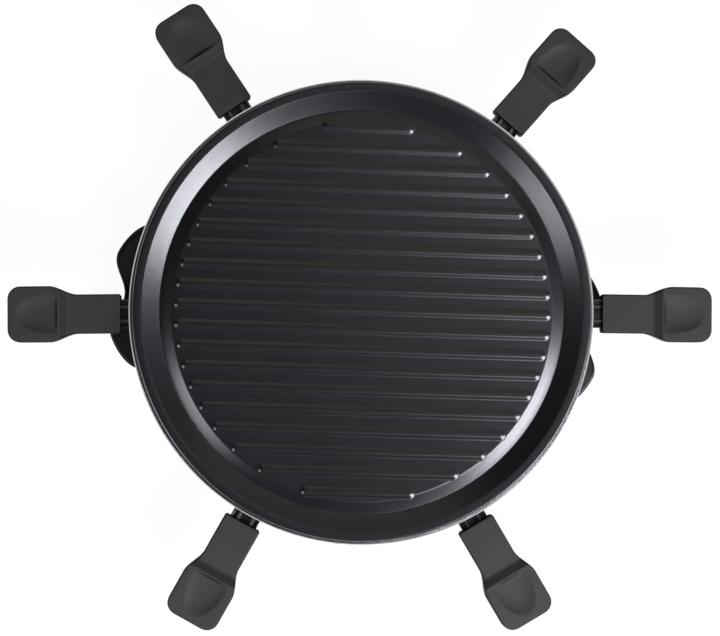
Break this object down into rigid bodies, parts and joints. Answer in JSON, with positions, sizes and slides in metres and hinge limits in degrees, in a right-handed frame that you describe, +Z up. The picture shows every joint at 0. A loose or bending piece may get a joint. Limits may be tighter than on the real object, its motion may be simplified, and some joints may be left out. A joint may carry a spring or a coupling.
{
  "type": "raclette grill",
  "caption": "Round tabletop raclette grill: a ribbed lift-off grill plate over a ring heater, with slide-out pans on a low base that has two side grips.",
  "frame": {"origin": "on the table, under the middle of the grill's outline, which is its upright axis to within a few millimetres", "axes": "+Z up, +X along the right-hand pan's handle, +Y towards the back, where the cord goes in"},
  "size_m": [0.4784, 0.424, 0.119],
  "materials": {
    "plate_coating": "black non-stick coating, satin, finely speckled",
    "pan_coating": "black non-stick coating on pressed steel",
    "stem_steel": "black coated pressed steel with worn ridges",
    "handle_plastic": "matt charcoal heat-proof plastic",
    "black_plastic": "fine-grained black heat-proof plastic",
    "black_steel": "satin black stove enamel",
    "deck": "black coated steel sheet",
    "zinc_sheet": "zinc-plated steel sheet",
    "element": "heat-darkened steel tube",
    "steel": "plain steel",
    "rubber": "matt black rubber",
    "ceramic": "unglazed off-white ceramic",
    "lamp": "clear amber-red lens",
    "brown_lead": "brown insulation",
    "blue_lead": "blue insulation",
    "green_lead": "green insulation"
  },
  "bodies": {
    "grill": {"base_cover": "zinc_sheet", "base_tray": "black_plastic", "control_panel": "black_plastic", "cord_inlet_bush": "rubber", "deck_hub": "deck", "earth_lead": "green_lead", "earth_screw": "steel", "element_bracket_1": "zinc_sheet", "element_bracket_2": "zinc_sheet", "element_bracket_3": "zinc_sheet", "element_terminal_block": "ceramic", "foot_1": "rubber", "foot_2": "rubber", "foot_3": "rubber", "foot_4": "rubber", "foot_screw_1": "steel", "foot_screw_2": "steel", "foot_screw_3": "steel", "foot_screw_4": "steel", "heater_ring": "steel", "heating_element": "element", "hub_screw": "steel", "left_grip": "black_plastic", "live_lead": "brown_lead", "mains_terminal_block": "ceramic", "neutral_lead": "blue_lead", "pan_deck": "deck", "pilot_lamp": "lamp", "right_grip": "black_plastic", "switched_lead": "brown_lead", "thermostat": "ceramic", "upright_1": "black_steel", "upright_2": "black_steel", "upright_3": "black_steel", "upright_5": "black_steel", "upright_6": "black_steel", "wired_upright": "black_steel"},
    "plate": {"grill_plate": "plate_coating"},
    "dial": {"thermostat_knob": "black_plastic", "thermostat_shaft": "steel"},
    "pan_unit_1": {"pan_1": "pan_coating", "pan_stem_1": "stem_steel", "pan_handle_1": "handle_plastic"},
    "pan_unit_2": {"pan_2": "pan_coating", "pan_stem_2": "stem_steel", "pan_handle_2": "handle_plastic"},
    "pan_unit_3": {"pan_3": "pan_coating", "pan_stem_3": "stem_steel", "pan_handle_3": "handle_plastic"},
    "pan_unit_4": {"pan_4": "pan_coating", "pan_stem_4": "stem_steel", "pan_handle_4": "handle_plastic"},
    "pan_unit_5": {"pan_5": "pan_coating", "pan_stem_5": "stem_steel", "pan_handle_5": "handle_plastic"},
    "pan_unit_6": {"pan_6": "pan_coating", "pan_stem_6": "stem_steel", "pan_handle_6": "handle_plastic"}
  },
  "joints": [
    {"name": "plate_lift", "type": "slide", "parent": "grill", "child": "plate", "axis": [0, 0, 1], "range_m": [0, 0.06]},
    {"name": "dial_turn", "type": "hinge", "parent": "grill", "child": "dial", "pos_m": [-0.01273, -0.14544, 0.028], "axis": [0.0872, 0.9962, 0], "range_deg": [0, 270]},
    {"name": "pan_1_slide", "type": "slide", "parent": "grill", "child": "pan_unit_1", "axis": [0.9999, -0.0122, 0], "range_m": [0, 0.11]},
    {"name": "pan_2_slide", "type": "slide", "parent": "grill", "child": "pan_unit_2", "axis": [0.6613, 0.7501, 0], "range_m": [0, 0.11]},
    {"name": "pan_3_slide", "type": "slide", "parent": "grill", "child": "pan_unit_3", "axis": [-0.5519, 0.8339, 0], "range_m": [0, 0.11]},
    {"name": "pan_4_slide", "type": "slide", "parent": "grill", "child": "pan_unit_4", "axis": [-0.9999, -0.0122, 0], "range_m": [0, 0.11]},
    {"name": "pan_5_slide", "type": "slide", "parent": "grill", "child": "pan_unit_5", "axis": [-0.4924, -0.8704, 0], "range_m": [0, 0.11]},
    {"name": "pan_6_slide", "type": "slide", "parent": "grill", "child": "pan_unit_6", "axis": [0.506, -0.8625, 0], "range_m": [0, 0.11]}
  ]
}
